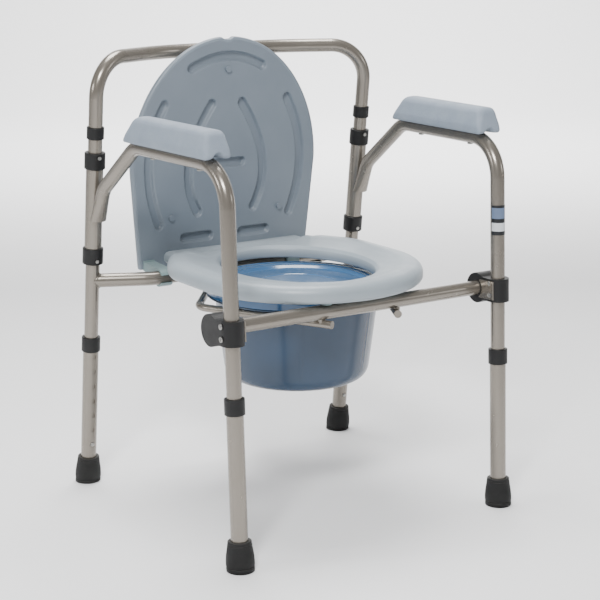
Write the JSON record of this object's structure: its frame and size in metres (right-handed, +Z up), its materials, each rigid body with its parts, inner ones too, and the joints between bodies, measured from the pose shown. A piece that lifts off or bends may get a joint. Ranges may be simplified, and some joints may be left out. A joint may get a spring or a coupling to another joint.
{
  "type": "commode chair",
  "caption": "Folding commode chair with armrests, telescopic legs, a lifting seat and lid, and a bucket with a cover held on rods under the seat.",
  "frame": {"origin": "on the floor, at the middle of the four feet", "axes": "+X to the viewer's right when facing the chair from its front, -Y out of the chair's front, +Z up"},
  "size_m": [0.546, 0.5039, 0.719],
  "materials": {
    "frame_paint": "warm light grey powder coat, semi-gloss",
    "black_plastic": "moulded black nylon, satin",
    "foot_rubber": "matt black rubber",
    "seat_plastic": "cool grey moulded plastic, satin",
    "lid_plastic": "grey moulded plastic, satin",
    "pad_foam": "self-skinned foam, fine grain",
    "bucket_plastic": "blue moulded plastic",
    "cover_plastic": "glossy blue moulded plastic",
    "clip_plastic": "teal grey moulded plastic",
    "bright_steel": "zinc plated steel",
    "label": "plain printed film"
  },
  "bodies": {
    "frame": {"left_backrest_collar": "black_plastic", "left_bucket_rod": "frame_paint", "left_rear_button_spring": "bright_steel", "left_rear_upright": "frame_paint", "left_swivel_collars": "black_plastic", "left_swivel_screws": "bright_steel", "right_backrest_collar": "black_plastic", "right_bucket_rod": "frame_paint", "right_rear_button_spring": "bright_steel", "right_rear_upright": "frame_paint", "right_swivel_collars": "black_plastic", "right_swivel_screws": "bright_steel", "rear_cross_tube": "frame_paint", "front_bar": "frame_paint"},
    "left_side_frame": {"left_side_tube": "frame_paint", "left_swivel_sleeve": "frame_paint", "left_arm_pad": "pad_foam", "left_arm_pad_screws": "bright_steel", "left_bar_clamp": "black_plastic", "left_clamp_plate": "frame_paint", "left_clamp_bolts": "bright_steel", "left_front_button_spring": "bright_steel"},
    "left_rear_leg": {"left_rear_leg_extension": "frame_paint", "left_rear_leg_collar": "black_plastic", "left_rear_foot": "foot_rubber"},
    "left_rear_snap_button": {"left_rear_button": "bright_steel"},
    "left_front_leg": {"left_front_leg_extension": "frame_paint", "left_front_leg_collar": "black_plastic", "left_front_foot": "foot_rubber"},
    "left_front_snap_button": {"left_front_button": "bright_steel"},
    "right_side_frame": {"right_side_tube": "frame_paint", "right_swivel_sleeve": "frame_paint", "right_arm_pad": "pad_foam", "right_arm_pad_screws": "bright_steel", "right_bar_clamp": "black_plastic", "right_clamp_plate": "frame_paint", "right_clamp_bolts": "bright_steel", "right_front_button_spring": "bright_steel", "right_leg_label": "label"},
    "right_rear_leg": {"right_rear_leg_extension": "frame_paint", "right_rear_leg_collar": "black_plastic", "right_rear_foot": "foot_rubber"},
    "right_rear_snap_button": {"right_rear_button": "bright_steel"},
    "right_front_leg": {"right_front_leg_extension": "frame_paint", "right_front_leg_collar": "black_plastic", "right_front_foot": "foot_rubber"},
    "right_front_snap_button": {"right_front_button": "bright_steel"},
    "backrest": {"backrest_tube": "frame_paint"},
    "seat": {"seat_ring": "seat_plastic", "seat_hinge_clips": "clip_plastic", "seat_bumpers": "clip_plastic"},
    "lid": {"lid_panel": "lid_plastic", "lid_hinge_clips": "clip_plastic", "lid_hinge_screws": "bright_steel", "lid_bumpers": "clip_plastic"},
    "bucket": {"bucket": "bucket_plastic"},
    "bucket_cover": {"bucket_lid": "cover_plastic"}
  },
  "joints": [
    {"name": "lid_hinge", "type": "hinge", "parent": "frame", "child": "lid", "pos_m": [0, 0.15285, 0.345], "axis": [-1, 0, 0], "range_deg": [-87.3, 0]},
    {"name": "seat_hinge", "type": "hinge", "parent": "frame", "child": "seat", "pos_m": [0, 0.15285, 0.345], "axis": [-1, 0, 0], "range_deg": [0, 87]},
    {"name": "left_side_frame_swing", "type": "hinge", "parent": "frame", "child": "left_side_frame", "pos_m": [-0.2518, 0.17951, 0.46357], "axis": [0, 0.1101, -0.9939], "range_deg": [0, 90]},
    {"name": "left_rear_leg_slide", "type": "slide", "parent": "frame", "child": "left_rear_leg", "axis": [0, 0.1101, -0.9939], "range_m": [0, 0.1524]},
    {"name": "left_rear_button_press", "type": "slide", "parent": "frame", "child": "left_rear_snap_button", "axis": [0, 0.9939, 0.1101], "range_m": [0, 0.004], "stiffness_N_per_m": 600, "springref_m": -0.002},
    {"name": "left_front_leg_slide", "type": "slide", "parent": "left_side_frame", "child": "left_front_leg", "axis": [0.0013, -0.0474, -0.9989], "range_m": [0, 0.1524]},
    {"name": "left_front_button_press", "type": "slide", "parent": "left_side_frame", "child": "left_front_snap_button", "axis": [0.0284, -0.9985, 0.0475], "range_m": [0, 0.004], "stiffness_N_per_m": 600, "springref_m": -0.002},
    {"name": "right_side_frame_swing", "type": "hinge", "parent": "frame", "child": "right_side_frame", "pos_m": [0.2518, 0.17951, 0.46357], "axis": [0, -0.1101, 0.9939], "range_deg": [0, 90]},
    {"name": "right_rear_leg_slide", "type": "slide", "parent": "frame", "child": "right_rear_leg", "axis": [0, 0.1101, -0.9939], "range_m": [0, 0.1524]},
    {"name": "right_rear_button_press", "type": "slide", "parent": "frame", "child": "right_rear_snap_button", "axis": [0, 0.9939, 0.1101], "range_m": [0, 0.004], "stiffness_N_per_m": 600, "springref_m": -0.002},
    {"name": "right_front_leg_slide", "type": "slide", "parent": "right_side_frame", "child": "right_front_leg", "axis": [-0.0013, -0.0474, -0.9989], "range_m": [0, 0.1524]},
    {"name": "right_front_button_press", "type": "slide", "parent": "right_side_frame", "child": "right_front_snap_button", "axis": [-0.0284, -0.9985, 0.0475], "range_m": [0, 0.004], "stiffness_N_per_m": 600, "springref_m": -0.002},
    {"name": "backrest_lift", "type": "slide", "parent": "frame", "child": "backrest", "axis": [0, -0.1101, 0.9939], "range_m": [0, 0.045]},
    {"name": "bucket_lift", "type": "slide", "parent": "frame", "child": "bucket", "axis": [0, 0, 1], "range_m": [0, 0.0045]},
    {"name": "bucket_cover_lift", "type": "slide", "parent": "bucket", "child": "bucket_cover", "axis": [0, 0, 1], "range_m": [0, 0.0015]}
  ]
}
